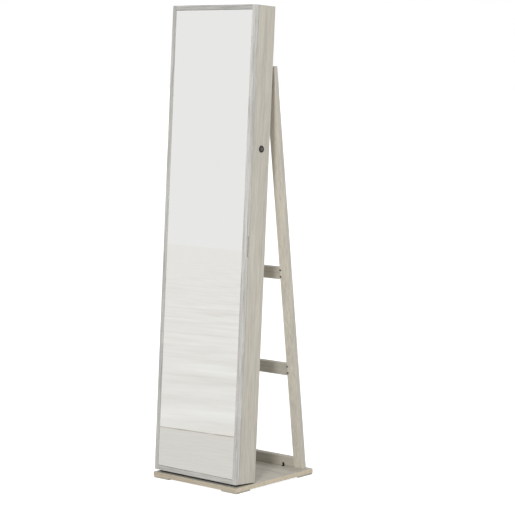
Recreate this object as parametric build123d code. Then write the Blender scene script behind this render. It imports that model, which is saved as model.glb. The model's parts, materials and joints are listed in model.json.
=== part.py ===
from build123d import *
import os
from math import cos, radians, sin, tan

# Jewelry armoire: a narrow mirror cabinet that leans back on a square base,
# held up by a ladder frame behind it.
# Row frame: origin under the middle of the base, +Z up, the mirror faces -Y.
# Cabinet frame: x across, y back from the door's face, z up along the lean.
# Stand frame: x across, y back from the frame's rear face, z up along the legs.

# ---------------------------------------------------------------- driving sizes
OVERALL_HEIGHT = 1570.0
BASE_SIDE = 380.0
BASE_CORNER_R = 2.5
BASE_THICK = 15.0
FOOT_SIDE = 68.0
FOOT_THICK = 5.0
FOOT_INSET = 1.5

CABINET_WIDTH = 371.0
CABINET_DEPTH = 93.0
CABINET_FRONT_Y = -188.0
CABINET_LEAN = 4.4
REAR_LIFT = 2.5
BOARD = 12.0
BACK_BOARD = 4.0
LINING = 2.2
SEAM = 1.0
EASE = 0.8

DOOR_THICK = 15.0
STILE_WIDTH = 15.0
RAIL_WIDTH = 15.0
RABBET = 5.0
GLASS_SET = 1.5
GLASS_THICK = 3.0
DOOR_LINING = 3.0

STAND_LEAN = 5.5
STAND_REAR_Y = 174.0
LEG_OUTER_X = 173.0
LEG_WIDTH = 39.0
LEG_THICK = 17.5
LEG_LENGTH = 1358.0
RAIL_HEIGHT = 40.0
RAIL_BOTTOMS = (-4.0, 323.0, 652.0)

SHELF_THICK = 9.0
SHELF_FRONT = 49.0
SHELF_TOPS = (1199.0, 969.0, 709.0, 489.0, 259.0)

HINGE_HEIGHTS = (130.0, 773.0, 1417.0)
HINGE_TALL = 50.0
KNUCKLE_R = 2.5
PIN_R = 1.2
PIN_PLAY = 0.05
LEAF_THICK = 1.1
LEAF_REACH = 10.0

LOCK_Y = 54.0
LOCK_Z = 1086.0
CATCH_HEIGHTS = (330.0, 1330.0)
NOTCH_Z = 772.0
NOTCH_TALL = 67.0
NOTCH_FRONT, NOTCH_BACK = 9.0, 12.0
NOTCH_DEEP = 6.0

# ---------------------------------------------------------------- derived sizes
BASE_TOP = FOOT_THICK + BASE_THICK
lean = radians(CABINET_LEAN)
FRONT_BOTTOM_Z = BASE_TOP + REAR_LIFT + CABINET_DEPTH * sin(lean)
CABINET_HEIGHT = (OVERALL_HEIGHT - FRONT_BOTTOM_Z) / cos(lean)
HALF = CABINET_WIDTH / 2
INNER = HALF - BOARD
CASE_FRONT = DOOR_THICK + SEAM
BACK_FRONT = CABINET_DEPTH - BACK_BOARD
LINING_FRONT = BACK_FRONT - LINING
INNER_TOP = CABINET_HEIGHT - BOARD
HINGE_X = -HALF - 1.5
HINGE_Y = DOOR_THICK + SEAM / 2
LEG_INNER_X = LEG_OUTER_X - LEG_WIDTH


# ---------------------------------------------------------------- helpers
def block(x0, x1, y0, y1, z0, z1, ease=0.0):
    """Box between two corners, with its edges eased by a small radius."""
    solid = Pos((x0 + x1) / 2, (y0 + y1) / 2, (z0 + z1) / 2) * Box(x1 - x0, y1 - y0, z1 - z0)
    if ease:
        solid = fillet(solid.edges(), ease)
    return solid


def rod_x(y, z, x0, x1, radius):
    """Round bar along x."""
    return Pos((x0 + x1) / 2, y, z) * Rot(0, 90, 0) * Cylinder(radius, x1 - x0)


def rod_y(x, z, y0, y1, radius):
    """Round bar along y."""
    return Pos(x, (y0 + y1) / 2, z) * Rot(90, 0, 0) * Cylinder(radius, y1 - y0)


def rod_z(x, y, z0, z1, radius):
    """Round bar along z."""
    return Pos(x, y, (z0 + z1) / 2) * Cylinder(radius, z1 - z0)


def side_profile(points, x0, x1):
    """Prism along x over an outline given as (y, z) points."""
    outline = make_face(Polyline(*[(x0, y, z) for y, z in points], close=True))
    return extrude(outline, amount=x1 - x0, dir=(1, 0, 0))


def in_cabinet(shape):
    """Move a shape from the cabinet frame to the row frame."""
    return Location((0, CABINET_FRONT_Y, FRONT_BOTTOM_Z), (-CABINET_LEAN, 0, 0)) * shape


def in_stand(shape):
    """Move a shape from the stand frame to the row frame."""
    return Location((0, STAND_REAR_Y, BASE_TOP), (STAND_LEAN, 0, 0)) * shape


def save(name, solids):
    """Write one node: a solid, or several separate solids as a group."""
    if isinstance(solids, list):
        solids = Compound(children=solids)
    export_step(solids, os.path.join("parts", name + ".step"))


def cabinet_back_y(z):
    """Row y of the cabinet's back face at height z."""
    rear_y = CABINET_FRONT_Y + CABINET_DEPTH * cos(lean)
    rear_z = BASE_TOP + REAR_LIFT
    return rear_y + (z - rear_z) * tan(lean)


def leg_front_y(z):
    """Row y of the stand's front face at height z."""
    slope = radians(STAND_LEAN)
    return STAND_REAR_Y - LEG_THICK / cos(slope) - (z - BASE_TOP) * tan(slope)


# ---------------------------------------------------------------- base
def base_plate():
    plate = Pos(0, 0, FOOT_THICK + BASE_THICK / 2) * Box(BASE_SIDE, BASE_SIDE, BASE_THICK)
    plate = fillet(plate.edges().filter_by(Axis.Z), BASE_CORNER_R)
    return fillet(plate.faces().filter_by(Axis.Z).edges(), EASE)


def foot_pad(side_x, side_y):
    edge = BASE_SIDE / 2 - FOOT_INSET
    centre = edge - FOOT_SIDE / 2
    pad = Pos(side_x * centre, side_y * centre, FOOT_THICK / 2) * Box(FOOT_SIDE, FOOT_SIDE, FOOT_THICK)
    return fillet(pad.edges().filter_by(Axis.Z), BASE_CORNER_R - FOOT_INSET)


def tilt_wedge():
    """Tapered board that fills the gap under the case, clear of the door."""
    front, rear, inset = 16.0, CABINET_DEPTH - 6.0, 12.0
    points = []
    for depth in (front, rear):
        y = CABINET_FRONT_Y + depth * cos(lean)
        points.append((y, FRONT_BOTTOM_Z - depth * sin(lean)))
    outline = [(points[0][0], BASE_TOP), points[0], points[1], (points[1][0], BASE_TOP)]
    return side_profile(outline, -HALF + inset, HALF - inset)


save("base_plate", base_plate())
for name, side_x, side_y in (
    ("foot_pad_front_left", -1, -1),
    ("foot_pad_front_right", 1, -1),
    ("foot_pad_rear_left", -1, 1),
    ("foot_pad_rear_right", 1, 1),
):
    save(name, foot_pad(side_x, side_y))
save("tilt_wedge", tilt_wedge())

# ---------------------------------------------------------------- ladder stand
SCREW_HEAD_R = 3.4
SCREW_HEAD = 2.0
SCREW_R = 1.8
SCREW_PLAY = 0.1
PIN_SCREW_RISE = 11.0
PIN_SCREW_X = LEG_INNER_X + 3.0
PINNED_RAILS = (1, 2)
TENON_REACH = 10.0
TENON_HALF_THICK = 4.0
TENON_HALF_TALL = 15.0
BRACKET_X = 88.0
BRACKET_WIDTH = 7.0
BRACKET_RISE = 12.0
BRACKET_FOOT = 6.5
BRACKET_THICK = 2.0
BELOW_BASE = block(-200, 200, 100, 200, 0, BASE_TOP)


def rail_tenons(index, play=0.0):
    """Tongues at a rail's two ends, let into the legs."""
    middle = RAIL_BOTTOMS[index] + RAIL_HEIGHT / 2
    half = TENON_HALF_TALL + play
    thick = TENON_HALF_THICK + play
    wide = LEG_INNER_X + TENON_REACH + play
    y = -LEG_THICK / 2
    return block(-wide, wide, y - thick, y + thick, middle - half, middle + half)


def pin_screw_places(index):
    """x and z of the screws that pin one rail's tongues, in the stand frame."""
    middle = RAIL_BOTTOMS[index] + RAIL_HEIGHT / 2
    rises = (-PIN_SCREW_RISE, PIN_SCREW_RISE)
    return [(side * PIN_SCREW_X, middle + rise) for side in (-1, 1) for rise in rises]


def pin_screw_holes(index):
    radius = SCREW_R + SCREW_PLAY
    front = -LEG_THICK - 1
    return [rod_y(x, z, front, -LEG_THICK + 12, radius) for x, z in pin_screw_places(index)]


def stand_leg(side):
    x0, x1 = sorted((side * LEG_INNER_X, side * LEG_OUTER_X))
    leg = block(x0, x1, -LEG_THICK, 0, -10, LEG_LENGTH, EASE)
    for index in range(3):
        leg -= rail_tenons(index, SCREW_PLAY)
    for index in PINNED_RAILS:
        for hole in pin_screw_holes(index):
            leg -= hole
    return in_stand(leg) - BELOW_BASE


def stand_rail(index):
    bottom = RAIL_BOTTOMS[index]
    start = bottom if index else -10
    rail = block(-LEG_INNER_X, LEG_INNER_X, -LEG_THICK, 0, start, bottom + RAIL_HEIGHT, EASE)
    rail += rail_tenons(index)
    if index in PINNED_RAILS:
        for hole in pin_screw_holes(index):
            rail -= hole
    rail = in_stand(rail)
    if index == 0:
        rail -= BELOW_BASE
    return rail


def stand_screws():
    screws = []
    for x, z in [place for index in PINNED_RAILS for place in pin_screw_places(index)]:
        head = rod_y(x, z, -LEG_THICK - SCREW_HEAD, -LEG_THICK, SCREW_HEAD_R)
        head = fillet(head.faces().sort_by(Axis.Y)[0].edges(), 1.2)
        head -= block(x - 0.5, x + 0.5, -LEG_THICK - 3, -LEG_THICK - 1.2, z - 2, z + 2)
        screws.append(in_stand(head + rod_y(x, z, -LEG_THICK, -LEG_THICK + 11, SCREW_R)))
    return screws


def rail_brackets():
    """Angle brackets that hold the lowest rail to the base."""
    brackets = []
    foot_y = leg_front_y(BASE_TOP)
    for side in (-1, 1):
        x0, x1 = side * BRACKET_X - BRACKET_WIDTH / 2, side * BRACKET_X + BRACKET_WIDTH / 2
        slope = radians(STAND_LEAN)
        top_z = BASE_TOP + BRACKET_RISE
        outline = [
            (foot_y, BASE_TOP),
            (foot_y - BRACKET_FOOT, BASE_TOP),
            (foot_y - BRACKET_FOOT, BASE_TOP + BRACKET_THICK),
            (foot_y - BRACKET_THICK / cos(slope) - BRACKET_THICK * tan(slope), BASE_TOP + BRACKET_THICK),
            (leg_front_y(top_z) - BRACKET_THICK / cos(slope), top_z),
            (leg_front_y(top_z), top_z),
        ]
        brackets.append(side_profile(outline, x0, x1))
    return brackets


def leg_block(side):
    """Tapered block between a leg's top and the cabinet's back."""
    low, high = 1300.0, 1350.0
    x0, x1 = sorted((side * (LEG_INNER_X + 2), side * (LEG_OUTER_X - 14)))
    outline = [
        (cabinet_back_y(low), low),
        (leg_front_y(low), low),
        (leg_front_y(high), high),
        (cabinet_back_y(high), high),
    ]
    return side_profile(outline, x0, x1)


for name, side in (("left", -1), ("right", 1)):
    save("stand_leg_" + name, stand_leg(side))
save("leg_blocks", [leg_block(side) for side in (-1, 1)])
for index, name in enumerate(("low", "mid", "high")):
    save("stand_rail_" + name, stand_rail(index))
save("stand_screws", stand_screws())
save("rail_brackets", rail_brackets())

# ---------------------------------------------------------------- hinges
LEAF_GAP = 0.1
LEAF_SCREW_R = 1.3
LEAF_SCREW_HEAD_R = 2.4
LEAF_SCREW_X = -HALF + 6.5
LEAF_SCREW_RISE = 18.0
KNUCKLE_THIRD = HINGE_TALL / 3
KNUCKLE_GAP = 0.15
MORTISE_PLAY = 0.2


def knuckle_relief(z):
    """Round clearance for a hinge's knuckles in the door's and the case's edges."""
    reach = HINGE_TALL / 2 + 1.5
    return rod_z(HINGE_X, HINGE_Y, z - reach, z + reach, KNUCKLE_R + MORTISE_PLAY)


def leaf_y(on_door):
    """Front and back face of a hinge leaf."""
    if on_door:
        return HINGE_Y - LEAF_GAP - LEAF_THICK, HINGE_Y - LEAF_GAP
    return HINGE_Y + LEAF_GAP, HINGE_Y + LEAF_GAP + LEAF_THICK


def leaf_screw_cutter(z, on_door, play=0.0):
    """A countersunk screw's body, flush in its leaf."""
    y0, y1 = leaf_y(on_door)
    inward = -1 if on_door else 1
    face = y1 if on_door else y0
    head = Cone(LEAF_SCREW_R + play, LEAF_SCREW_HEAD_R + play, LEAF_THICK)
    head = Rot(inward * 90, 0, 0) * head
    head = Pos(LEAF_SCREW_X, (y0 + y1) / 2, z) * head
    tip = face + inward * (LEAF_THICK + 7.0 + play)
    shank_y0, shank_y1 = sorted((face + inward * LEAF_THICK * 0.9, tip))
    return head + rod_y(LEAF_SCREW_X, z, shank_y0, shank_y1, LEAF_SCREW_R + play)


def leaf_screws(on_door):
    rises = (-LEAF_SCREW_RISE, LEAF_SCREW_RISE)
    return [leaf_screw_cutter(z + rise, on_door) for z in HINGE_HEIGHTS for rise in rises]


def leaf_mortise(z, on_door):
    """Recess for one leaf and its two screws."""
    y0, y1 = leaf_y(on_door)
    reach = HINGE_TALL / 2 + MORTISE_PLAY
    recess = block(-HALF - 5, -HALF + LEAF_REACH + MORTISE_PLAY, y0, y1, z - reach, z + reach)
    for rise in (-LEAF_SCREW_RISE, LEAF_SCREW_RISE):
        recess += leaf_screw_cutter(z + rise, on_door, SCREW_PLAY)
    return recess


def hinge_leaf(z, on_door):
    y0, y1 = leaf_y(on_door)
    low, high = z - HINGE_TALL / 2, z + HINGE_TALL / 2
    middle_low, middle_high = z - KNUCKLE_THIRD / 2, z + KNUCKLE_THIRD / 2
    leaf = block(HINGE_X, -HALF + LEAF_REACH, y0, y1, low, high)
    others = [(low - 1, middle_low + KNUCKLE_GAP), (middle_high - KNUCKLE_GAP, high + 1)]
    own = [(middle_low + KNUCKLE_GAP, middle_high - KNUCKLE_GAP)]
    if not on_door:
        others = [(middle_low - KNUCKLE_GAP, middle_high + KNUCKLE_GAP)]
        own = [(low, middle_low - KNUCKLE_GAP), (middle_high + KNUCKLE_GAP, high)]
    for z0, z1 in others:
        leaf -= rod_z(HINGE_X, HINGE_Y, z0, z1, KNUCKLE_R + MORTISE_PLAY)
    for z0, z1 in own:
        leaf += rod_z(HINGE_X, HINGE_Y, z0, z1, KNUCKLE_R)
    leaf -= rod_z(HINGE_X, HINGE_Y, low - 1, high + 1, PIN_R + PIN_PLAY)
    for rise in (-LEAF_SCREW_RISE, LEAF_SCREW_RISE):
        leaf -= leaf_screw_cutter(z + rise, on_door, SCREW_PLAY)
    return leaf


def hinge_pin(z):
    half = HINGE_TALL / 2
    pin = rod_z(HINGE_X, HINGE_Y, z - half, z + half, PIN_R)
    for end in (-1, 1):
        cap_z = sorted((z + end * half, z + end * (half + 1.0)))
        pin += rod_z(HINGE_X, HINGE_Y, cap_z[0], cap_z[1], KNUCKLE_R - 0.4)
    return pin


save("hinge_case_leaves", [in_cabinet(hinge_leaf(z, False)) for z in HINGE_HEIGHTS])
save("hinge_door_leaves", [in_cabinet(hinge_leaf(z, True)) for z in HINGE_HEIGHTS])
save("hinge_pins", [in_cabinet(hinge_pin(z)) for z in HINGE_HEIGHTS])
save("hinge_case_screws", [in_cabinet(screw) for screw in leaf_screws(False)])
save("hinge_door_screws", [in_cabinet(screw) for screw in leaf_screws(True)])

# ---------------------------------------------------------------- case
LOCK_BODY_R = 9.5
REBATE = 6.0


def back_panel_space(play=0.0):
    """The back board's place: let into the rear edges of the case boards."""
    wide = INNER + REBATE + play
    low = BOARD - REBATE - play
    return block(-wide, wide, BACK_FRONT, CABINET_DEPTH, low, CABINET_HEIGHT - low)


def side_panel(side):
    x0, x1 = sorted((side * INNER, side * HALF))
    panel = block(x0, x1, CASE_FRONT, CABINET_DEPTH, 0, CABINET_HEIGHT, EASE)
    panel -= back_panel_space()
    if side < 0:
        for z in HINGE_HEIGHTS:
            panel -= knuckle_relief(z)
            panel -= leaf_mortise(z, False)
    else:
        panel -= rod_x(LOCK_Y, LOCK_Z, INNER - 1, HALF + 1, LOCK_BODY_R + SCREW_PLAY)
    return in_cabinet(panel)


def end_panel(z0):
    panel = block(-INNER, INNER, CASE_FRONT, CABINET_DEPTH, z0, z0 + BOARD)
    return in_cabinet(panel - back_panel_space())


save("side_panel_left", side_panel(-1))
save("side_panel_right", side_panel(1))
save("top_panel", end_panel(INNER_TOP))
save("bottom_panel", end_panel(0))
save("back_panel", in_cabinet(back_panel_space()))
save("back_lining", in_cabinet(block(-INNER, INNER, LINING_FRONT, BACK_FRONT, BOARD, INNER_TOP)))

# ---------------------------------------------------------------- inside the case
GUARD_THICK = 3.0
GUARD_HEIGHT = 26.0
PEG_R = 2.0
PEG_REACH = 22.0
ROD_Y, ROD_Z, ROD_R = 65.0, 905.0, 6.0
TRAY_LEFT, TRAY_RIGHT = -160.0, 128.0
TRAY_LOW, TRAY_HIGH = 990.0, 1170.0
TRAY_FRONT, TRAY_WALL = 63.0, 5.0
ROLL_COUNT = 8


def shelf(top):
    return block(-INNER, INNER, SHELF_FRONT, LINING_FRONT, top - SHELF_THICK, top, EASE)


def shelf_guard(top):
    """Low strip along a shelf's front that keeps things from sliding off."""
    y0 = SHELF_FRONT + 1.0
    return block(-INNER, INNER, y0, y0 + GUARD_THICK, top, top + GUARD_HEIGHT, EASE)


def peg(x, y, z, outward):
    """Turned hook: a flange, a stem that rises a little, and a flared head."""
    stem = Cylinder(PEG_R, PEG_REACH, align=(Align.CENTER, Align.CENTER, Align.MIN))
    head = Pos(0, 0, PEG_REACH - 2.5) * Cone(PEG_R, 4.0, 2.5, align=(Align.CENTER, Align.CENTER, Align.MIN))
    stem = Pos(0, 0, -1.0) * (Pos(0, 0, 1.0) * stem + Pos(0, 0, 1.0) * head)
    rise = 12.0
    turned = Rot(-outward * (90 - rise), 0, 0) * stem
    flange = rod_y(0, 0, min(0, outward * 1.6), max(0, outward * 1.6), 5.0)
    whole = turned + flange
    keep = block(-10, 10, min(0, outward * 60), max(0, outward * 60), -20, 40)
    return Pos(x, y, z) * (whole & keep)


def necklace_rail():
    return block(-150, 150, LINING_FRONT - 10, LINING_FRONT, 1468, 1492, EASE)


def necklace_pegs():
    count, pitch = 10, 30.0
    first = -pitch * (count - 1) / 2
    return [peg(first + i * pitch, LINING_FRONT - 10, 1476, -1) for i in range(count)]


def ring_tray():
    outer = block(TRAY_LEFT, TRAY_RIGHT, TRAY_FRONT, LINING_FRONT, TRAY_LOW, TRAY_HIGH, EASE)
    inner = block(
        TRAY_LEFT + TRAY_WALL,
        TRAY_RIGHT - TRAY_WALL,
        TRAY_FRONT - 1,
        LINING_FRONT - 3,
        TRAY_LOW + TRAY_WALL,
        TRAY_HIGH - TRAY_WALL,
    )
    return outer - inner


def ring_rolls():
    """Padded rolls stacked in the tray; rings stand in the grooves between them."""
    low = TRAY_LOW + TRAY_WALL
    pitch = (TRAY_HIGH - TRAY_LOW - 2 * TRAY_WALL) / ROLL_COUNT
    radius = pitch / 2 - 0.2
    y = LINING_FRONT - 3 - radius - 0.2
    x0, x1 = TRAY_LEFT + TRAY_WALL + 0.5, TRAY_RIGHT - TRAY_WALL - 0.5
    return [rod_x(y, low + (i + 0.5) * pitch, x0, x1, radius) for i in range(ROLL_COUNT)]


def rod_cup(side):
    x0, x1 = sorted((side * (INNER - 10), side * INNER))
    cup = rod_x(ROD_Y, ROD_Z, x0, x1, ROD_R + 3)
    socket = sorted((side * (INNER - 11), side * (INNER - 3)))
    return cup - rod_x(ROD_Y, ROD_Z, socket[0], socket[1], ROD_R + SCREW_PLAY)


for number, top in enumerate(SHELF_TOPS, start=1):
    save("shelf_%d" % number, in_cabinet(shelf(top)))
save("shelf_guards", [in_cabinet(shelf_guard(top)) for top in SHELF_TOPS[2:]])
save("necklace_rail", in_cabinet(necklace_rail()))
save("necklace_pegs", [in_cabinet(each) for each in necklace_pegs()])
save("ring_tray", in_cabinet(ring_tray()))
save("ring_rolls", [in_cabinet(roll) for roll in ring_rolls()])
save("bracelet_rod", in_cabinet(rod_x(ROD_Y, ROD_Z, -INNER + 3.5, INNER - 3.5, ROD_R)))
save("rod_cups", [in_cabinet(rod_cup(side)) for side in (-1, 1)])

# ---------------------------------------------------------------- lock
LOCK_HEAD_R = 11.0
LOCK_HEAD = 2.5
BODY_END = 160.0
PLUG_R = 6.0
CAM_X0, CAM_X1 = 155.6, 157.6
CAM_WIDTH = 12.0
CAM_REACH = 26.0
TENON = 5.0
NUT_FLATS = 24.0


def lock_body():
    body = rod_x(LOCK_Y, LOCK_Z, BODY_END, HALF, LOCK_BODY_R)
    head = rod_x(LOCK_Y, LOCK_Z, HALF, HALF + LOCK_HEAD, LOCK_HEAD_R)
    head = fillet(head.faces().sort_by(Axis.X)[-1].edges(), 1.2)
    body += head
    return body - rod_x(LOCK_Y, LOCK_Z, BODY_END - 1, HALF + 5, PLUG_R + PIN_PLAY)


def lock_nut():
    hexagon = Rot(0, 90, 0) * extrude(RegularPolygon(NUT_FLATS / 2, 6, major_radius=False), 4.0)
    nut = Pos(INNER - 4.0, LOCK_Y, LOCK_Z) * hexagon
    return nut - rod_x(LOCK_Y, LOCK_Z, INNER - 6, INNER + 2, LOCK_BODY_R + SCREW_PLAY)


def lock_plug():
    """Turning barrel with its key slot upright, a rear collar and a square tenon."""
    plug = rod_x(LOCK_Y, LOCK_Z, BODY_END - 0.3, HALF + LOCK_HEAD - 0.4, PLUG_R)
    plug += rod_x(LOCK_Y, LOCK_Z, CAM_X1, BODY_END - 0.3, PLUG_R + 1.5)
    half = TENON / 2
    plug += block(CAM_X0, CAM_X1, LOCK_Y - half, LOCK_Y + half, LOCK_Z - half, LOCK_Z + half)
    plug -= block(HALF - 8, HALF + 5, LOCK_Y - 0.9, LOCK_Y + 0.9, LOCK_Z - 4, LOCK_Z + 4)
    return plug - rod_x(LOCK_Y, LOCK_Z, CAM_X0 - 1, CAM_X0 + 8, SCREW_R + SCREW_PLAY)


def lock_cam():
    """Flat arm that points at the door when unlocked and up when locked."""
    half = CAM_WIDTH / 2
    arm = block(CAM_X0, CAM_X1, LOCK_Y - CAM_REACH, LOCK_Y, LOCK_Z - half, LOCK_Z + half)
    arm = fillet(arm.faces().sort_by(Axis.Y)[0].edges().filter_by(Axis.X), 2.5)
    arm += rod_x(LOCK_Y, LOCK_Z, CAM_X0, CAM_X1, half)
    half = TENON / 2 + SCREW_PLAY
    return arm - block(CAM_X0 - 1, CAM_X1 + 1, LOCK_Y - half, LOCK_Y + half, LOCK_Z - half, LOCK_Z + half)


def lock_cam_screw():
    head = rod_x(LOCK_Y, LOCK_Z, CAM_X0 - 2.2, CAM_X0, 4.4)
    head = fillet(head.faces().sort_by(Axis.X)[0].edges(), 1.0)
    head -= block(CAM_X0 - 3, CAM_X0 - 1.4, LOCK_Y - 3, LOCK_Y + 3, LOCK_Z - 0.5, LOCK_Z + 0.5)
    return head + rod_x(LOCK_Y, LOCK_Z, CAM_X0, CAM_X0 + 7, SCREW_R)


for name, solid in (
    ("lock_body", lock_body()),
    ("lock_nut", lock_nut()),
    ("lock_plug", lock_plug()),
    ("lock_cam", lock_cam()),
    ("lock_cam_screw", lock_cam_screw()),
):
    save(name, in_cabinet(solid))

# ---------------------------------------------------------------- magnetic catches
CATCH_REACH = 20.0
CATCH_HALF = 20.0
CATCH_DEEP = 14.0
CATCH_GAP = 1.0
STRIKER = 1.0


def catch_body(z):
    y0 = DOOR_THICK + STRIKER + CATCH_GAP
    body = block(INNER - CATCH_DEEP, INNER, y0, y0 + CATCH_REACH, z - CATCH_HALF, z + CATCH_HALF, EASE)
    return body - catch_magnet(z)


def catch_magnet(z):
    y0 = DOOR_THICK + STRIKER + CATCH_GAP
    return block(INNER - CATCH_DEEP + 4, INNER - 4, y0, y0 + 6, z - 13, z + 13)


def catch_striker(z):
    return block(INNER - CATCH_DEEP, INNER - 2, DOOR_THICK, DOOR_THICK + STRIKER, z - 17, z + 17)


def seam_bumpers():
    """Thin felt dots on the case's right front edge."""
    x = HALF - BOARD / 2
    places = (40.0, CABINET_HEIGHT - 40.0)
    return [rod_y(x, z, CASE_FRONT - 0.7, CASE_FRONT, 4.0) for z in places]


save("catch_bodies", [in_cabinet(catch_body(z)) for z in CATCH_HEIGHTS])
save("catch_magnets", [in_cabinet(catch_magnet(z)) for z in CATCH_HEIGHTS])
save("catch_strikers", [in_cabinet(catch_striker(z)) for z in CATCH_HEIGHTS])
save("seam_bumpers", [in_cabinet(dot) for dot in seam_bumpers()])

# ---------------------------------------------------------------- door
OPENING_X = HALF - STILE_WIDTH
OPENING_LOW = RAIL_WIDTH
OPENING_HIGH = CABINET_HEIGHT - RAIL_WIDTH
POCKET_X = OPENING_X + RABBET
POCKET_LOW = OPENING_LOW - RABBET
POCKET_HIGH = OPENING_HIGH + RABBET


def glass_pocket():
    """Rabbet behind the frame's lip that holds the glass and its boards."""
    return block(-POCKET_X, POCKET_X, GLASS_SET, DOOR_THICK + 1, POCKET_LOW, POCKET_HIGH)


def finger_notch():
    """Groove in the door's right edge that a fingernail pulls."""
    half = NOTCH_TALL / 2
    depth = HALF - NOTCH_DEEP
    groove = block(depth, HALF + 4, NOTCH_FRONT, NOTCH_BACK, NOTCH_Z - half, NOTCH_Z + half)
    return fillet(groove.edges().filter_by(Axis.Y), 3.0)


def door_stile(side):
    x0, x1 = sorted((side * OPENING_X, side * HALF))
    stile = block(x0, x1, 0, DOOR_THICK, 0, CABINET_HEIGHT, EASE) - glass_pocket()
    if side < 0:
        for z in HINGE_HEIGHTS:
            stile -= knuckle_relief(z)
            stile -= leaf_mortise(z, True)
    else:
        stile -= finger_notch()
    return stile


def door_rail(low, high):
    return block(-OPENING_X, OPENING_X, 0, DOOR_THICK, low, high, EASE) - glass_pocket()


def pocket_sheet(front, thick):
    """A sheet that fills the rabbet across and along, with a little play."""
    play = 0.4
    return block(
        -POCKET_X + play,
        POCKET_X - play,
        front,
        front + thick,
        POCKET_LOW + play,
        POCKET_HIGH - play,
    )


def door_backing():
    """Board between the glass and the door's lining."""
    front = GLASS_SET + GLASS_THICK
    return pocket_sheet(front, DOOR_THICK - DOOR_LINING - front)


def door_lining():
    """Cloth-faced board inside the door, clear of the hinge leaves' screws."""
    return pocket_sheet(DOOR_THICK - DOOR_LINING, DOOR_LINING)


for name, solid in (
    ("door_stile_left", door_stile(-1)),
    ("door_stile_right", door_stile(1)),
    ("door_rail_top", door_rail(OPENING_HIGH, CABINET_HEIGHT)),
    ("door_rail_bottom", door_rail(0, OPENING_LOW)),
    ("mirror_glass", pocket_sheet(GLASS_SET, GLASS_THICK)),
    ("door_backing", door_backing()),
    ("door_lining", door_lining()),
):
    save(name, in_cabinet(solid))

# ---------------------------------------------------------------- inside the door
DOOR_GEAR_X = 150.0
DOOR_GEAR_REACH = 41.0
EARRING_LOW, EARRING_HIGH = 760.0, 1160.0
EARRING_BARS = 7
BIN_TOPS = (620.0, 380.0)
BIN_HEIGHT = 52.0
BIN_WALL = 2.5
STRIKE_THICK = 1.5


def lock_strike():
    """Arm from the door whose lip sits behind the cam when the lock is turned."""
    low, high = LOCK_Z + 13.0, LOCK_Z + 26.0
    lip_front = LOCK_Y + CAM_WIDTH / 2 + 0.6
    foot = block(152, 160 + STRIKE_THICK, DOOR_THICK, DOOR_THICK + STRIKE_THICK, low, high + 12)
    arm = block(160, 160 + STRIKE_THICK, DOOR_THICK, lip_front + 2, low, high)
    lip = block(152, 160 + STRIKE_THICK, lip_front, lip_front + 2, low, high)
    return foot + arm + lip


def open_box(low, high, reach, wall):
    """Shallow bin on the door, open at the top."""
    outer = block(-DOOR_GEAR_X, DOOR_GEAR_X, DOOR_THICK, reach, low, high)
    inner = block(
        -DOOR_GEAR_X + wall,
        DOOR_GEAR_X - wall,
        DOOR_THICK + wall,
        reach - wall,
        low + wall,
        high + 1,
    )
    return outer - inner


def earring_upright(side):
    x0, x1 = sorted((side * (DOOR_GEAR_X - 8), side * DOOR_GEAR_X))
    return block(x0, x1, DOOR_THICK, 35, EARRING_LOW, EARRING_HIGH, EASE)


def earring_bar(index):
    """Cloth-covered strip with a row of slots for earring posts."""
    pitch = (EARRING_HIGH - EARRING_LOW - 40) / (EARRING_BARS - 1)
    z = EARRING_LOW + 20 + index * pitch
    wide = DOOR_GEAR_X - 8
    bar = block(-wide, wide, 27, 32, z - 8, z + 8)
    for slot in range(-9, 10):
        bar -= block(slot * 14 - 0.8, slot * 14 + 0.8, 26, 33, z - 1, z + 9)
    return bar


def door_pegs():
    count, pitch = 8, 32.0
    first = -pitch * (count - 1) / 2
    return [peg(first + i * pitch, DOOR_THICK + 8, 1476, 1) for i in range(count)]


save("lock_strike", in_cabinet(lock_strike()))
save("door_hook_rail", in_cabinet(block(-140, 140, DOOR_THICK, DOOR_THICK + 8, 1468, 1492, EASE)))
save("door_pegs", [in_cabinet(each) for each in door_pegs()])
save("necklace_pocket", in_cabinet(open_box(1212, 1280, 39, BIN_WALL)))
save("earring_uprights", [in_cabinet(earring_upright(side)) for side in (-1, 1)])
save("earring_bars", [in_cabinet(earring_bar(index)) for index in range(EARRING_BARS)])
bins = [open_box(top - BIN_HEIGHT, top, DOOR_GEAR_REACH, BIN_WALL) for top in BIN_TOPS]
save("door_bins", [in_cabinet(each) for each in bins])
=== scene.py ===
import bmesh
import bpy
import json
import math
from mathutils import Matrix, Vector, noise


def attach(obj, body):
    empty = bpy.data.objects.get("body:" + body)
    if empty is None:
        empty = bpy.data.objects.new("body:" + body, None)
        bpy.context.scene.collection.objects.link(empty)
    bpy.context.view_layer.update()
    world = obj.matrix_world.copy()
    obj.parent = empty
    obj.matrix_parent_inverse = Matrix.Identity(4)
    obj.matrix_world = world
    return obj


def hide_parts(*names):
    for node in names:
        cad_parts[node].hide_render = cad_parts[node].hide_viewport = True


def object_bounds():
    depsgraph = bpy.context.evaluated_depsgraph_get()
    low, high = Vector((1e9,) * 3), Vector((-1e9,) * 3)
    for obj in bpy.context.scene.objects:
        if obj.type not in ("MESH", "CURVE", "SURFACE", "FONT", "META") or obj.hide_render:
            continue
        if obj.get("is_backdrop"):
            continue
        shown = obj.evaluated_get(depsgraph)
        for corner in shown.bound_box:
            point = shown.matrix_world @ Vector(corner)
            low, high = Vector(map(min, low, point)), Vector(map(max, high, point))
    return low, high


# A narrow mirror-fronted jewelry armoire on a square base, with a ladder stand behind it.
# Metres, in the row frame: +Z up, the mirror faces -Y. The cabinet leans back, so pieces
# inside it are drawn in the cabinet's own frame: x across, y back from the door's face, z up.

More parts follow.
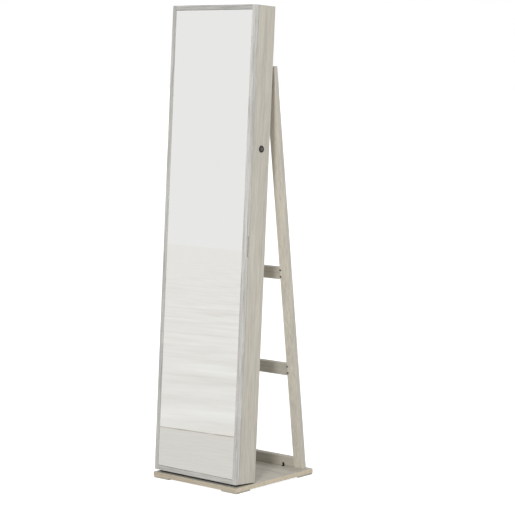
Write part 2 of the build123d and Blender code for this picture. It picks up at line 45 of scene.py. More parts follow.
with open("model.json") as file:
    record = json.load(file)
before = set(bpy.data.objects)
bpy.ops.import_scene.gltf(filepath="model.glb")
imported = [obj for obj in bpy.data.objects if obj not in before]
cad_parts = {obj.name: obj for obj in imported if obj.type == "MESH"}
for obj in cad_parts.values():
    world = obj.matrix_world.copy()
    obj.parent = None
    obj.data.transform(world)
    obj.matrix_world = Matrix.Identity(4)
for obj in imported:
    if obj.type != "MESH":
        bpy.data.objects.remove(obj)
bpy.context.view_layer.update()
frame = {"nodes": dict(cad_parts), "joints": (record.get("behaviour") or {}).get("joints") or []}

# ------------------------------------------------------------------ places from the frame
MM = 0.001
HINGE_IN_CABINET = Vector((-187.0, 15.5, 773.0)) * MM
door_joint = next(joint for joint in frame["joints"] if joint["name"] == "door_hinge")
LEAN = math.atan2(-door_joint["axis"][1], -door_joint["axis"][2])
turn = Matrix.Rotation(-LEAN, 4, "X")
origin = Vector(door_joint["pos_m"]) - turn @ HINGE_IN_CABINET
CABINET = Matrix.Translation(origin) @ turn



def in_cabinet_box(name):
    """Lowest and highest corners of a CAD node in the cabinet's frame."""
    inverse = CABINET.inverted()
    points = [inverse @ vertex.co for vertex in frame["nodes"][name].data.vertices]
    low = Vector(min(point[axis] for point in points) for axis in range(3))
    high = Vector(max(point[axis] for point in points) for axis in range(3))
    return low, high


# Width of the dark line along the glass's top, bottom and right edges: partly a dark edge seal, partly
# painted shade of the frame's inner lip.
SEAL_AND_SHADE_WIDTH = 0.95 * MM
rail_low, rail_high = in_cabinet_box("door_rail_bottom"), in_cabinet_box("door_rail_top")
GLASS_MIDDLE = (rail_low[1].z + rail_high[0].z) / 2
GLASS_REACH = (rail_high[0].z - rail_low[1].z) / 2
GLASS_RIGHT = rail_high[1].x


# ------------------------------------------------------------------ node helpers
def linear(red, green, blue):
    """Scene-linear colour from 0 to 255 screen values."""
    def channel(value):
        value /= 255
        return value / 12.92 if value <= 0.04045 else ((value + 0.055) / 1.055) ** 2.4
    return (channel(red), channel(green), channel(blue), 1.0)


def new_material(name):
    """An empty material, its node tree, its shader and its output joined."""
    material = bpy.data.materials.new(name)
    material.use_nodes = True
    tree = material.node_tree
    tree.nodes.clear()
    output = tree.nodes.new("ShaderNodeOutputMaterial")
    shader = tree.nodes.new("ShaderNodeBsdfPrincipled")
    tree.links.new(shader.outputs["BSDF"], output.inputs["Surface"])
    return material, tree, shader


def add(tree, kind, inputs=None, **settings):
    """A node with its properties and inputs set; an input given as a socket is linked."""
    made = tree.nodes.new(kind)
    for key, value in settings.items():
        setattr(made, key, value)
    for key, value in (inputs or {}).items():
        if isinstance(value, bpy.types.NodeSocket):
            tree.links.new(value, made.inputs[key])
        else:
            made.inputs[key].default_value = value
    return made


def mapped(tree, socket, scale=(1, 1, 1), location=(0, 0, 0)):
    inputs = {"Vector": socket, "Scale": scale, "Location": location}
    return add(tree, "ShaderNodeMapping", inputs).outputs[0]


def noise_at(tree, socket, scale, detail=3.0, rough=0.5, distortion=0.0):
    inputs = {"Vector": socket, "Scale": scale, "Detail": detail}
    inputs.update({"Roughness": rough, "Distortion": distortion})
    return add(tree, "ShaderNodeTexNoise", inputs).outputs["Fac"]


def math_of(tree, operation, first, second=0.0, clamp=False):
    made = add(tree, "ShaderNodeMath", {0: first, 1: second}, operation=operation, use_clamp=clamp)
    return made.outputs[0]


def spread(tree, socket, low, high, out_low=0.0, out_high=1.0):
    """Map a range of values to another, clamped."""
    inputs = {"Value": socket, "From Min": low, "From Max": high, "To Min": out_low, "To Max": out_high}
    return add(tree, "ShaderNodeMapRange", inputs).outputs[0]


def blend_colours(tree, factor, first, second, mode="MIX"):
    made = tree.nodes.new("ShaderNodeMix")
    made.data_type = "RGBA"
    made.blend_type = mode
    for index, value in ((0, factor), (6, first), (7, second)):
        if isinstance(value, bpy.types.NodeSocket):
            tree.links.new(value, made.inputs[index])
        else:
            made.inputs[index].default_value = value
    return made.outputs[2]


def ramp(tree, socket, stops):
    """Colour ramp over (position, colour) stops."""
    made = add(tree, "ShaderNodeValToRGB", {"Fac": socket})
    elements = made.color_ramp.elements
    while len(elements) < len(stops):
        elements.new(0.5)
    for element, (position, colour) in zip(elements, stops):
        element.position = position
        element.color = colour
    return made.outputs["Color"]


def bump(tree, shader, height, strength, distance):
    made = add(tree, "ShaderNodeBump", {"Height": height, "Strength": strength, "Distance": distance})
    tree.links.new(made.outputs["Normal"], shader.inputs["Normal"])


def cabinet_coordinates(tree):
    """Object coordinates turned into the leaning cabinet's frame."""
    coords = add(tree, "ShaderNodeTexCoord").outputs["Object"]
    inputs = {"Vector": coords, "Location": origin, "Rotation": (-LEAN, 0, 0)}
    return add(tree, "ShaderNodeMapping", inputs, vector_type="TEXTURE").outputs[0]


# ------------------------------------------------------------------ wood
GREY_WASH = (linear(156, 154, 150), linear(182, 180, 175), linear(201, 199, 194), linear(214, 212, 207))
TAN_WASH = (linear(178, 173, 164), linear(196, 191, 180), linear(206, 201, 187), linear(215, 211, 200))
BAND_TAN = (linear(185, 171, 148), linear(201, 189, 167), linear(210, 199, 178), linear(217, 208, 191))
STRETCH = 0.035


def wood_colour(tree, coords, tones, grain, seed):
    """White-washed open-pored wood. grain is 0 for x, 1 for y and 2 for z."""
    along = [1.0, 1.0, 1.0]
    along[grain] = STRETCH
    shifted = mapped(tree, coords, location=(seed * 0.37, seed * 0.53, seed * 0.91))
    wander = add(tree, "ShaderNodeTexNoise", {"Vector": shifted, "Scale": 2.6, "Detail": 1.0})
    inputs = {0: wander.outputs["Color"], 1: (0.012, 0.012, 0.012)}
    wobble = add(tree, "ShaderNodeVectorMath", inputs, operation="MULTIPLY")
    bent = add(tree, "ShaderNodeVectorMath", {0: shifted, 1: wobble.outputs[0]}, operation="ADD").outputs[0]
    run = mapped(tree, bent, scale=along)
    broad = noise_at(tree, run, 55.0, 2.0, 0.5, 0.5)
    streak = noise_at(tree, run, 240.0, 5.0, 0.62, 0.3)
    fibre = noise_at(tree, run, 900.0, 3.0, 0.6)
    figure = math_of(tree, "MULTIPLY", broad, 0.26)
    figure = math_of(tree, "ADD", figure, math_of(tree, "MULTIPLY", streak, 0.5))
    total = math_of(tree, "ADD", figure, math_of(tree, "MULTIPLY", fibre, 0.24))
    stops = list(zip((0.37, 0.465, 0.55, 0.66), tones))
    colour = ramp(tree, total, stops)
    pores = spread(tree, noise_at(tree, run, 1500.0, 2.0, 0.5), 0.66, 0.74)
    colour = blend_colours(tree, math_of(tree, "MULTIPLY", pores, 0.35), colour, tones[0])
    return colour, total, pores


def wood(name, tones, grain, seed, shade=1.0, edge_tones=None, painted_side_light=1.0, painted_front_light=1.0):
    """shade scales every face: the wood's own tone on some pieces, painted shade on others. The two last
    arguments scale the faces toward x and toward y: painted light and shade by which way a face points.
    """
    material, tree, shader = new_material(name)
    coords = cabinet_coordinates(tree)
    tones = [tuple(shade * part for part in tone[:3]) + (1.0,) for tone in tones]
    colour, figure, pores = wood_colour(tree, coords, tones, grain, seed)
    facing = add(tree, "ShaderNodeSeparateXYZ", {0: add(tree, "ShaderNodeTexCoord").outputs["Normal"]})
    if edge_tones:
        edge_colour, _, _ = wood_colour(tree, coords, edge_tones, 0, seed + 3)
        flat = spread(tree, math_of(tree, "ABSOLUTE", facing.outputs["Z"]), 0.5, 0.75)
        colour = blend_colours(tree, flat, edge_colour, colour)
    # Painted light and shade: faces toward x and toward y made lighter or darker by which way they point.
    for axis, scale in (("X", painted_side_light), ("Y", painted_front_light)):
        if scale != 1.0:
            level = spread(tree, math_of(tree, "ABSOLUTE", facing.outputs[axis]), 0.5, 0.75, 1.0, scale)
            level = add(tree, "ShaderNodeCombineColor", {0: level, 1: level, 2: level}).outputs[0]
            colour = blend_colours(tree, 1.0, colour, level, "MULTIPLY")
    # Painted shade: the AO node darkens the wood where other surfaces are close, in seams, corners and
    # joints.
    occlusion_shade = add(tree, "ShaderNodeAmbientOcclusion", {"Distance": 0.006}).outputs["AO"]
    painted_shade_level = spread(tree, occlusion_shade, 0.35, 0.95, 0.72, 1.0)
    tint = add(tree, "ShaderNodeCombineColor", {0: painted_shade_level, 1: painted_shade_level, 2: painted_shade_level}).outputs[0]
    colour = blend_colours(tree, 1.0, colour, tint, "MULTIPLY")
    tree.links.new(colour, shader.inputs["Base Color"])
    tree.links.new(spread(tree, figure, 0.3, 0.7, 0.62, 0.46), shader.inputs["Roughness"])
    shader.inputs["Specular IOR Level"].default_value = 0.35
    height = math_of(tree, "SUBTRACT", figure, math_of(tree, "MULTIPLY", pores, 0.4))
    bump(tree, shader, height, 0.35, 0.0004)
    return material


# ------------------------------------------------------------------ other materials
def metal(name, colour, rough, seed, metallic=1.0):
    """Plated metal with faint polishing marks and handling smudges."""
    material, tree, shader = new_material(name)
    coords = mapped(tree, cabinet_coordinates(tree), location=(seed, 0, 0))
    smudge = noise_at(tree, coords, 180.0, 4.0, 0.6)
    marks = noise_at(tree, mapped(tree, coords, scale=(1, 1, 0.05)), 2600.0, 2.0)
    dull = tuple(0.72 * part for part in colour[:3]) + (1.0,)
    tone = blend_colours(tree, spread(tree, smudge, 0.35, 0.7), colour, dull)
    tree.links.new(tone, shader.inputs["Base Color"])
    tree.links.new(spread(tree, smudge, 0.3, 0.7, rough * 0.75, rough * 1.35), shader.inputs["Roughness"])
    shader.inputs["Metallic"].default_value = metallic
    bump(tree, shader, marks, 0.06, 0.0002)
    return material


def velvet(name, colour, seed):
    """Short pile cloth: brushed patches, a fine nap and a soft sheen."""
    material, tree, shader = new_material(name)
    coords = mapped(tree, cabinet_coordinates(tree), location=(seed, seed, 0))
    brushed = noise_at(tree, mapped(tree, coords, scale=(1, 1, 0.45)), 26.0, 3.0, 0.55, 0.8)
    nap = noise_at(tree, coords, 2400.0, 2.0, 0.7)
    light = tuple(min(1.0, 1.9 * part) for part in colour[:3]) + (1.0,)
    tone = blend_colours(tree, spread(tree, brushed, 0.35, 0.68), colour, light)
    tone = blend_colours(tree, spread(tree, nap, 0.45, 0.75, 0.0, 0.35), tone, light)
    tree.links.new(tone, shader.inputs["Base Color"])
    shader.inputs["Roughness"].default_value = 0.95
    shader.inputs["Sheen Weight"].default_value = 0.7
    shader.inputs["Sheen Roughness"].default_value = 0.35
    shader.inputs["Sheen Tint"].default_value = linear(205, 205, 212)
    bump(tree, shader, nap, 0.5, 0.0006)
    return material


def moulded(name, colour, rough, seed):
    """Moulded plastic with a fine spark texture."""
    material, tree, shader = new_material(name)
    coords = mapped(tree, cabinet_coordinates(tree), location=(seed, 0, seed))
    cloud = noise_at(tree, coords, 60.0, 3.0)
    grit = noise_at(tree, coords, 3200.0, 2.0, 0.6)
    dark = tuple(0.82 * part for part in colour[:3]) + (1.0,)
    tone = blend_colours(tree, spread(tree, cloud, 0.3, 0.7), colour, dark)
    tree.links.new(tone, shader.inputs["Base Color"])
    tree.links.new(spread(tree, cloud, 0.3, 0.7, rough * 0.9, rough * 1.1), shader.inputs["Roughness"])
    bump(tree, shader, grit, 0.2, 0.0002)
    return material


def clear_plastic(name):
    material, tree, shader = new_material(name)
    coords = cabinet_coordinates(tree)
    haze = noise_at(tree, coords, 90.0, 3.0)
    tree.links.new(spread(tree, haze, 0.3, 0.7, 0.03, 0.09), shader.inputs["Roughness"])
    shader.inputs["Base Color"].default_value = linear(238, 243, 244)
    shader.inputs["Transmission Weight"].default_value = 0.92
    shader.inputs["IOR"].default_value = 1.49
    bump(tree, shader, haze, 0.02, 0.001)
    return material


def mirror(name):
    """Silvered glass: faint dust, a very slight ripple, and a thin dark line along the top, bottom and
    right edges, partly a dark edge seal and partly painted shade of the frame's inner lip.
    """
    material, tree, shader = new_material(name)
    coords = cabinet_coordinates(tree)
    ripple = noise_at(tree, coords, 2.4, 1.0)
    dust = spread(tree, noise_at(tree, coords, 420.0, 4.0, 0.7), 0.62, 0.8)
    dusted = math_of(tree, "MULTIPLY", dust, 0.12)
    silver = blend_colours(tree, dusted, linear(231, 231, 230), linear(212, 212, 210))
    place = add(tree, "ShaderNodeSeparateXYZ", {0: coords})
    from_middle = math_of(tree, "ABSOLUTE", math_of(tree, "SUBTRACT", place.outputs["Z"], GLASS_MIDDLE))
    uneven = spread(tree, noise_at(tree, coords, 60.0, 2.0), 0.3, 0.7, 0.0, SEAL_AND_SHADE_WIDTH * 0.25)
    past_rail = math_of(tree, "SUBTRACT", from_middle, GLASS_REACH)
    past_stile = math_of(tree, "SUBTRACT", place.outputs["X"], GLASS_RIGHT)
    edge = math_of(tree, "ADD", math_of(tree, "MAXIMUM", past_rail, past_stile), uneven)
    # The dark line along the glass's edges: partly a dark edge seal, partly painted shade of the frame's
    # inner lip.
    seal_and_shade = math_of(tree, "GREATER_THAN", edge, -SEAL_AND_SHADE_WIDTH)
    tree.links.new(blend_colours(tree, seal_and_shade, silver, linear(40, 37, 33)), shader.inputs["Base Color"])
    tree.links.new(math_of(tree, "SUBTRACT", 1.0, seal_and_shade), shader.inputs["Metallic"])
    gloss = spread(tree, dust, 0.0, 1.0, 0.012, 0.05)
    rough = math_of(tree, "MAXIMUM", gloss, math_of(tree, "MULTIPLY", seal_and_shade, 0.6))
    tree.links.new(rough, shader.inputs["Roughness"])
    bump(tree, shader, ripple, 0.015, 0.001)
    return material


def fibreboard(name, colour, seed):
    """Pressed board: mottled fibres and a slightly woolly face."""
    material, tree, shader = new_material(name)
    coords = mapped(tree, cabinet_coordinates(tree), location=(seed, seed, 0))
    mottle = noise_at(tree, coords, 140.0, 5.0, 0.7)
    fibre = noise_at(tree, mapped(tree, coords, scale=(1, 1, 0.3)), 1400.0, 3.0, 0.7)
    dark = tuple(0.8 * part for part in colour[:3]) + (1.0,)
    tone = blend_colours(tree, spread(tree, mottle, 0.35, 0.68), colour, dark)
    tone = blend_colours(tree, spread(tree, fibre, 0.5, 0.75, 0.0, 0.4), tone, dark)
    tree.links.new(tone, shader.inputs["Base Color"])
    tree.links.new(spread(tree, mottle, 0.3, 0.7, 0.7, 0.85), shader.inputs["Roughness"])
    bump(tree, shader, fibre, 0.3, 0.0003)
    return material


wedge_black = moulded("wedge_black", linear(46, 47, 50), 0.45, 2.0)
foot_plastic = moulded("foot_plastic", linear(186, 181, 168), 0.6, 5.0)
catch_plastic = moulded("catch_plastic", linear(214, 211, 204), 0.45, 8.0)
nickel = metal("nickel", linear(206, 203, 196), 0.24, 1.0)
magnet_steel = metal("magnet_steel", linear(120, 120, 122), 0.42, 4.0)
black_metal = metal("black_metal", linear(48, 48, 50), 0.34, 3.0, 0.75)
plug_metal = metal("plug_metal", linear(104, 103, 100), 0.3, 7.0)
screw_metal = metal("screw_metal", linear(112, 110, 106), 0.4, 9.0)
dark_velvet = velvet("dark_velvet", linear(44, 44, 48), 0.0)
felt = velvet("felt", linear(120, 114, 104), 6.0)
clear = clear_plastic("clear_plastic")
glass = mirror("mirror")
back_board = fibreboard("back_board", linear(206, 201, 190), 1.5)
raw_board = fibreboard("raw_board", linear(168, 148, 118), 4.5)

# ------------------------------------------------------------------ CAD nodes and their finishes
# Third value: a scale on the wood colour. On the door's left stile and rails it is painted shade where less
# light falls. On the stand's rails, 0.76 to 0.8 is painted shade behind the cabinet. On the leg blocks, 0.6
# is painted shade. On the shelves, 0.97 and 0.98 are the wood's own tone.
WOODEN = {
    "door_stile_left": (GREY_WASH, 2, 0.85),
    "door_rail_top": (GREY_WASH, 0, 0.83),
    "door_rail_bottom": (GREY_WASH, 0, 0.88),
    "side_panel_left": (TAN_WASH, 2, 1.0),
    "side_panel_right": (TAN_WASH, 2, 1.0),
    "top_panel": (GREY_WASH, 0, 1.0),
    "bottom_panel": (TAN_WASH, 0, 1.0),
    "stand_leg_left": (TAN_WASH, 2, 1.0),
    "stand_leg_right": (TAN_WASH, 2, 1.0),
    "stand_rail_low": (TAN_WASH, 0, 0.76),
    "stand_rail_mid": (TAN_WASH, 0, 0.76),
    "stand_rail_high": (TAN_WASH, 0, 0.8),
    "leg_blocks": (TAN_WASH, 2, 0.6),
    "shelf_1": (GREY_WASH, 0, 1.0),
    "shelf_2": (GREY_WASH, 0, 0.98),
    "shelf_3": (GREY_WASH, 0, 1.0),
    "shelf_4": (GREY_WASH, 0, 0.97),
    "shelf_5": (GREY_WASH, 0, 1.0),
    "necklace_rail": (GREY_WASH, 0, 1.0),
    "door_hook_rail": (GREY_WASH, 0, 1.0),
    "ring_tray": (GREY_WASH, 0, 1.0),
    "earring_uprights": (GREY_WASH, 2, 1.0),
}
FINISHES = {
    "tilt_wedge": wedge_black,
    "foot_pad_front_left": foot_plastic,
    "foot_pad_front_right": foot_plastic,
    "foot_pad_rear_left": foot_plastic,
    "foot_pad_rear_right": foot_plastic,
    "back_panel": back_board,
    "earring_bars": dark_velvet,
    "door_backing": raw_board,
    "mirror_glass": glass,
    "shelf_guards": clear,
    "door_bins": clear,
    "catch_bodies": catch_plastic,
    "catch_magnets": magnet_steel,
    "seam_bumpers": felt,
    "lock_body": black_metal,
    "lock_plug": plug_metal,
    "rail_brackets": black_metal,
    "stand_screws": screw_metal,
}
SMOOTH_ANGLE = math.radians(32)


def smooth(mesh):
    """Round faces shade smoothly and real edges stay sharp."""
    mesh.shade_smooth()
    mesh.set_sharp_from_angle(angle=SMOOTH_ANGLE)


def paint(piece, material):
    piece.data.materials.clear()
    piece.data.materials.append(material)


for seed, (name, (tones, grain, shade)) in enumerate(WOODEN.items(), start=1):
    FINISHES[name] = wood(name + "_wood", tones, grain, seed, shade)
# Base plate: 0.84 is painted shade over all of it, with its faces toward x painted lighter (1.1) and its
# faces toward y painted darker (0.8). Right door stile: its face toward x is painted lighter (1.2). All of
# these are painted light and shade.
FINISHES["base_plate"] = wood("base_plate_wood", TAN_WASH, 0, 31, 0.84, BAND_TAN, 1.1, 0.8)
FINISHES["door_stile_right"] = wood("door_stile_right_wood", GREY_WASH, 2, 2, 0.95, painted_side_light=1.2)

for name, node in frame["nodes"].items():
    smooth(node.data)
    paint(node, FINISHES.get(name, nickel))


# ------------------------------------------------------------------ mesh helpers
def piece_from(name, mesh_maker, material, body, matrix=CABINET):
    """A new object from a bmesh drawn in the cabinet's frame."""
    shape = bmesh.new()
    mesh_maker(shape)
    bmesh.ops.recalc_face_normals(shape, faces=shape.faces)
    shape.transform(matrix)
    mesh = bpy.data.meshes.new(name)
    shape.to_mesh(mesh)
    shape.free()
    made = bpy.data.objects.new(name, mesh)
    bpy.context.scene.collection.objects.link(made)
    smooth(mesh)
    paint(made, material)
    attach(made, body)
    return made


def sheet_of_faces(shape, rows, close_round=False):
    """Quads between neighbouring rows of points."""
    made = [[shape.verts.new(point) for point in row] for row in rows]
    for above, below in zip(made, made[1:]):
        count = len(above)
        for index in range(count if close_round else count - 1):
            after = (index + 1) % count
            shape.faces.new((above[index], above[after], below[after], below[index]))
    return made


# ------------------------------------------------------------------ ring rolls
ROLLS = 8
ROLL_END = 0.006


def ring_roll(centre_y, centre_z, start, end, radius, seed):
    """One stuffed roll: full in the middle, gathered over its ends, with a seam at the back."""
    def make(shape):
        steps = [0.0, 0.08, 0.3, 0.65, 1.0]
        near = [start + ROLL_END * step for step in steps]
        middle = [start + ROLL_END + (end - start - 2 * ROLL_END) * i / 60 for i in range(1, 60)]
        far = [end - ROLL_END * step for step in reversed(steps)]
        rows = []
        for x in near + middle + far:
            inset = max(0.0, 1.0 - min(x - start, end - x) / ROLL_END)
            full = radius * math.sqrt(max(0.0, 1.0 - inset ** 2.4))
            row = []
            for k in range(36):
                angle = 2 * math.pi * k / 36
                around = (math.cos(angle) * 0.8, seed * 3.1 + math.sin(angle) * 0.8)
                lump = noise.noise(Vector((x * 38, *around)))
                pinch = 0.035 * math.exp(-((angle - math.pi / 2) / 0.16) ** 2)
                size = full * (0.985 + 0.014 * lump - pinch)
                row.append((x, centre_y + size * math.sin(angle), centre_z + size * math.cos(angle)))
            rows.append(row)
        sheet_of_faces(shape, rows, close_round=True)
        bmesh.ops.remove_doubles(shape, verts=shape.verts, dist=1e-7)
    return make


rolls_low, rolls_high = in_cabinet_box("ring_rolls")
roll_radius = (rolls_high.y - rolls_low.y) / 2
roll_pitch = (rolls_high.z - rolls_low.z - 2 * roll_radius) / (ROLLS - 1)
for index in range(ROLLS):
    centre_z = rolls_low.z + roll_radius + index * roll_pitch
    centre_y = rolls_low.y + roll_radius
    shape_maker = ring_roll(centre_y, centre_z, rolls_low.x, rolls_high.x, roll_radius, index)
    roll = piece_from("ring_roll_%d" % (index + 1), shape_maker, dark_velvet, "cabinet")
    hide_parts("ring_rolls")


# ------------------------------------------------------------------ padded linings
def even_steps(start, end, edge_steps, count):
    """Positions with extra ones close to both ends."""
    first = [start + step for step in edge_steps]
    last = [end - step for step in reversed(edge_steps)]
    a, b = first[-1], last[0]
    return first + [a + (b - a) * i / count for i in range(1, count)] + last


def padded_board(low, high, faces_back):
    """Cloth over thin wadding: a soft face with rolled edges, on a flat back."""
    def make(shape):
        edge = [0.0, 0.0006, 0.0015, 0.003, 0.005, 0.008]
        xs = even_steps(low.x, high.x, edge, 36)
        zs = even_steps(low.z, high.z, edge, 120)
        depth = high.y - low.y
        flat_y = low.y if faces_back else high.y
        rows = []
        for z in zs:
            row = []
            for x in xs:
                from_edge = min(x - low.x, high.x - x, z - low.z, high.z - z)
                roll = max(0.0, 1.0 - from_edge / 0.006) ** 2
                ripple = 0.5 + 0.5 * noise.noise(Vector((x * 9, 0.3, z * 9)))
                sunk = depth * (0.55 * roll + 0.07 * ripple)
                row.append((x, high.y - sunk if faces_back else low.y + sunk, z))
            rows.append(row)
        made = sheet_of_faces(shape, rows)
        rim = made[0] + [row[-1] for row in made[1:]] + made[-1][-2::-1] + [row[0] for row in made[-2:0:-1]]
        back = [shape.verts.new((vertex.co.x, flat_y, vertex.co.z)) for vertex in rim]
        for k in range(len(rim)):
            after = (k + 1) % len(rim)
            shape.faces.new((rim[k], rim[after], back[after], back[k]))
        shape.faces.new(back)
    return make


for name, body, faces_back in (("back_lining", "cabinet", False), ("door_lining", "door", True)):
    low, high = in_cabinet_box(name)
    lining = piece_from(name + "_cloth", padded_board(low, high, faces_back), dark_velvet, body)
    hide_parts(name)


# ------------------------------------------------------------------ necklace pocket
def necklace_pouch(shape):
    """Gathered cloth pouch: rounded corners, a full belly and a thick elastic hem."""
    low, high = in_cabinet_box("necklace_pocket")
    corner = 0.009
    reach = high.y - low.y
    path = [(low.x, low.y), (low.x, high.y - corner)]
    path += [(low.x + corner - corner * math.cos(a), high.y - corner + corner * math.sin(a))
             for a in (math.radians(15 * i) for i in range(1, 7))]
    count = 90
    path += [(low.x + corner + (high.x - low.x - 2 * corner) * i / count, high.y) for i in range(1, count)]
    path += [(high.x - corner + corner * math.sin(a), high.y - corner + corner * math.cos(a))
             for a in (math.radians(15 * i) for i in range(0, 7))]
    path += [(high.x, low.y)]
    rows = []
    levels = [0.0, 0.03, 0.08, 0.16, 0.3, 0.5, 0.7, 0.82, 0.88, 0.93, 0.97, 1.0]
    for level in levels:
        row = []
        for x, y in path:
            out = (y - low.y) / reach
            gather = math.sin(x * 420 + 1.2 * math.sin(x * 61)) * 0.5 + 0.5
            tuck = 0.0035 * (1 - min(1.0, level / 0.16)) ** 2
            waist = 0.0022 * math.exp(-((level - 0.86) / 0.05) ** 2)
            fold = 0.0013 * gather * (0.35 + 0.65 * level)
            inward = (tuck + waist + fold) * out
            side = 1 - (tuck + waist) / 0.15
            sag = 0.0016 * level * (1 - (x / high.x) ** 2) * out
            row.append((x * side, y - inward, low.z + (high.z - low.z) * level - sag))
        rows.append(row)
    floor_row = [(x * 0.97, low.y + (y - low.y) * 0.05, low.z + 0.0006) for x, y, _ in rows[0]]
    sheet_of_faces(shape, [floor_row] + rows)


pouch = piece_from("necklace_pouch", necklace_pouch, dark_velvet, "door")
thickness = pouch.modifiers.new("cloth", "SOLIDIFY")
thickness.thickness = 1.8 * MM
thickness.offset = -1.0
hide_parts("necklace_pocket")

# ------------------------------------------------------------------ flocked earring bars
soft_edge = frame["nodes"]["earring_bars"].modifiers.new("flock_edge", "BEVEL")
soft_edge.width = 0.6 * MM
soft_edge.segments = 2
soft_edge.limit_method = "ANGLE"

# ------------------------------------------------------------------ studio
def studio_plane(name, corners, colour, emit=None):
    mesh = bpy.data.meshes.new(name)
    mesh.from_pydata(corners, [], [tuple(range(len(corners)))])
    made = bpy.data.objects.new(name, mesh)
    bpy.context.scene.collection.objects.link(made)
    material, tree, shader = new_material(name + "_paint")
    shader.inputs["Base Color"].default_value = colour
    shader.inputs["Roughness"].default_value = 0.9
    if emit:
        shader.inputs["Emission Color"].default_value = colour
        shader.inputs["Emission Strength"].default_value = emit
        shader.inputs["Base Color"].default_value = (0, 0, 0, 1)
    mesh.materials.append(material)
    made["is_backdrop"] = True
    return made


AMBIENT = 0.66
FLOOR_GLOW = 0.85
FLOOR_HALF = 30.0
floor_corners = [(-FLOOR_HALF, -FLOOR_HALF, 0), (FLOOR_HALF, -FLOOR_HALF, 0),
                 (FLOOR_HALF, FLOOR_HALF, 0), (-FLOOR_HALF, FLOOR_HALF, 0)]
floor = studio_plane("studio_floor", floor_corners, (0.5, 0.5, 0.5, 1.0))
floor_tree = floor.data.materials[0].node_tree
floor_shader = floor_tree.nodes["Principled BSDF"]
ray = add(floor_tree, "ShaderNodeLightPath")
floor_shader.inputs["Emission Color"].default_value = (1, 1, 1, 1)
bounce = math_of(floor_tree, "SUBTRACT", 1.0, ray.outputs["Is Diffuse Ray"])
glow = math_of(floor_tree, "MULTIPLY", bounce, FLOOR_GLOW)
floor_tree.links.new(glow, floor_shader.inputs["Emission Strength"])

world = bpy.data.worlds.new("studio_world")
world.use_nodes = True
background = world.node_tree.nodes["Background"]
background.inputs["Color"].default_value = (1.0, 1.0, 1.0, 1.0)
world_ray = add(world.node_tree, "ShaderNodeLightPath")
diffuse_part = spread(world.node_tree, world_ray.outputs["Is Diffuse Ray"], 0.0, 1.0, 1.0, AMBIENT)
world.node_tree.links.new(diffuse_part, background.inputs["Strength"])
bpy.context.scene.world = world

# A glowing card just above the floor in front, seen only in the mirror: a painted reflection of a pale
# board band and a paler room beyond, which the glass reflects.
BAND_LINE = (Vector((-1.422, -1.465, 0)), Vector((-1.091, -1.556, 0)))
CARD_HALF = 400.0
CARD_NEAR = -0.2
CARD_RISE = 0.002
REFLECTED_BOARD_TONES = (linear(218, 216, 209), linear(223, 221, 215), linear(228, 226, 220))
REFLECTED_ROOM_TONES = (linear(229, 227, 222), linear(241, 240, 236), linear(249, 249, 246))


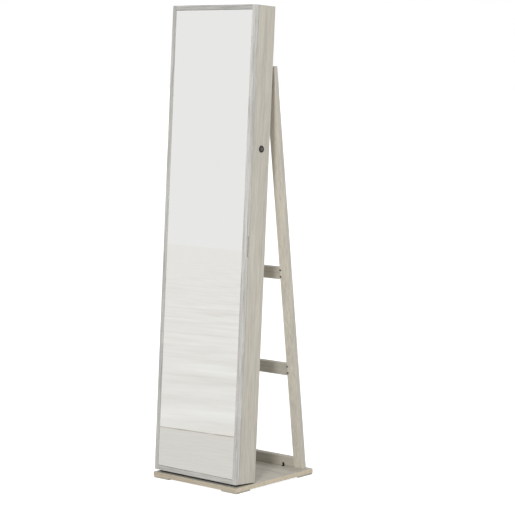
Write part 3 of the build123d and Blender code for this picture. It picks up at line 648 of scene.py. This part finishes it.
def painted_reflection_card():
    corners = [(-CARD_HALF, -CARD_HALF, CARD_RISE), (CARD_HALF, -CARD_HALF, CARD_RISE),
               (CARD_HALF, CARD_NEAR, CARD_RISE), (-CARD_HALF, CARD_NEAR, CARD_RISE)]
    card = studio_plane("painted_reflection_card", corners, (0.8, 0.8, 0.8, 1.0), emit=1.0)
    tree = card.data.materials[0].node_tree
    shader = tree.nodes["Principled BSDF"]
    coords = add(tree, "ShaderNodeTexCoord").outputs["Object"]
    along = (BAND_LINE[1] - BAND_LINE[0]).normalized()
    across = Vector((along.y, -along.x, 0))
    start = across.dot(BAND_LINE[0])
    reach, run = (
        add(tree, "ShaderNodeVectorMath", {0: coords, 1: way}, operation="DOT_PRODUCT").outputs["Value"]
        for way in (across, along)
    )
    bow = math_of(tree, "MULTIPLY", noise_at(tree, coords, 3.0, 2.0), 0.02)
    out = math_of(tree, "SUBTRACT", math_of(tree, "ADD", reach, bow), start + 0.010)
    flat = add(tree, "ShaderNodeCombineXYZ", {0: math_of(tree, "MULTIPLY", run, 0.3), 1: reach}).outputs[0]
    grain = noise_at(tree, flat, 22.0, 4.0, 0.6, 0.4)
    near = ramp(tree, grain, list(zip((0.3, 0.5, 0.7), REFLECTED_BOARD_TONES)))
    soft = noise_at(tree, coords, 1.4, 4.0, 0.6)
    far = ramp(tree, soft, list(zip((0.3, 0.5, 0.7), REFLECTED_ROOM_TONES)))
    colour = blend_colours(tree, spread(tree, out, 0.0, 0.004), near, far)
    # Painted shadow: a dark line along the far edge of the reflected board, its strength varied by noise.
    painted_shadow_line = math_of(tree, "SUBTRACT", 1.0, spread(tree, math_of(tree, "ABSOLUTE", out), 0.007, 0.026))
    depth = spread(tree, noise_at(tree, coords, 14.0, 3.0), 0.4, 0.6, 0.45, 1.0)
    colour = blend_colours(tree, math_of(tree, "MULTIPLY", painted_shadow_line, depth), colour, linear(160, 148, 128))
    tree.links.new(colour, shader.inputs["Emission Color"])
    card.visible_camera = False
    card.visible_diffuse = False
    card.visible_shadow = False
    card.visible_transmission = False


painted_reflection_card()


def area_light(name, place, aim, size, power):
    data = bpy.data.lights.new(name, "AREA")
    data.shape = "DISK"
    data.size = size
    data.energy = power
    made = bpy.data.objects.new(name, data)
    made.location = place
    made.rotation_mode = "QUATERNION"
    made.rotation_quaternion = (Vector(aim) - Vector(place)).to_track_quat("-Z", "Y")
    bpy.context.scene.collection.objects.link(made)
    return made


area_light("key", (2.55, -4.4, 2.6), (0, 0, 0.8), 1.0, 152)

# ------------------------------------------------------------------ camera
CAMERA_PLACE = (4.3836, -4.6757, 1.4983)
CAMERA_TURN = math.radians(42.3695)
CAMERA_DIP = math.radians(6.7629)
CAMERA_ROLL = math.radians(-0.4947)
camera_data = bpy.data.cameras.new("camera")
camera_data.sensor_width = 36.0
camera_data.lens = 135.934
camera_data.clip_end = 100.0
camera = bpy.data.objects.new("camera", camera_data)
camera.matrix_world = (
    Matrix.Translation(CAMERA_PLACE)
    @ Matrix.Rotation(CAMERA_TURN, 4, "Z")
    @ Matrix.Rotation(math.pi / 2 - CAMERA_DIP, 4, "X")
    @ Matrix.Rotation(CAMERA_ROLL, 4, "Z")
)
bpy.context.scene.collection.objects.link(camera)
bpy.context.scene.camera = camera
bpy.context.scene.view_settings.view_transform = "Standard"

low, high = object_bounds()
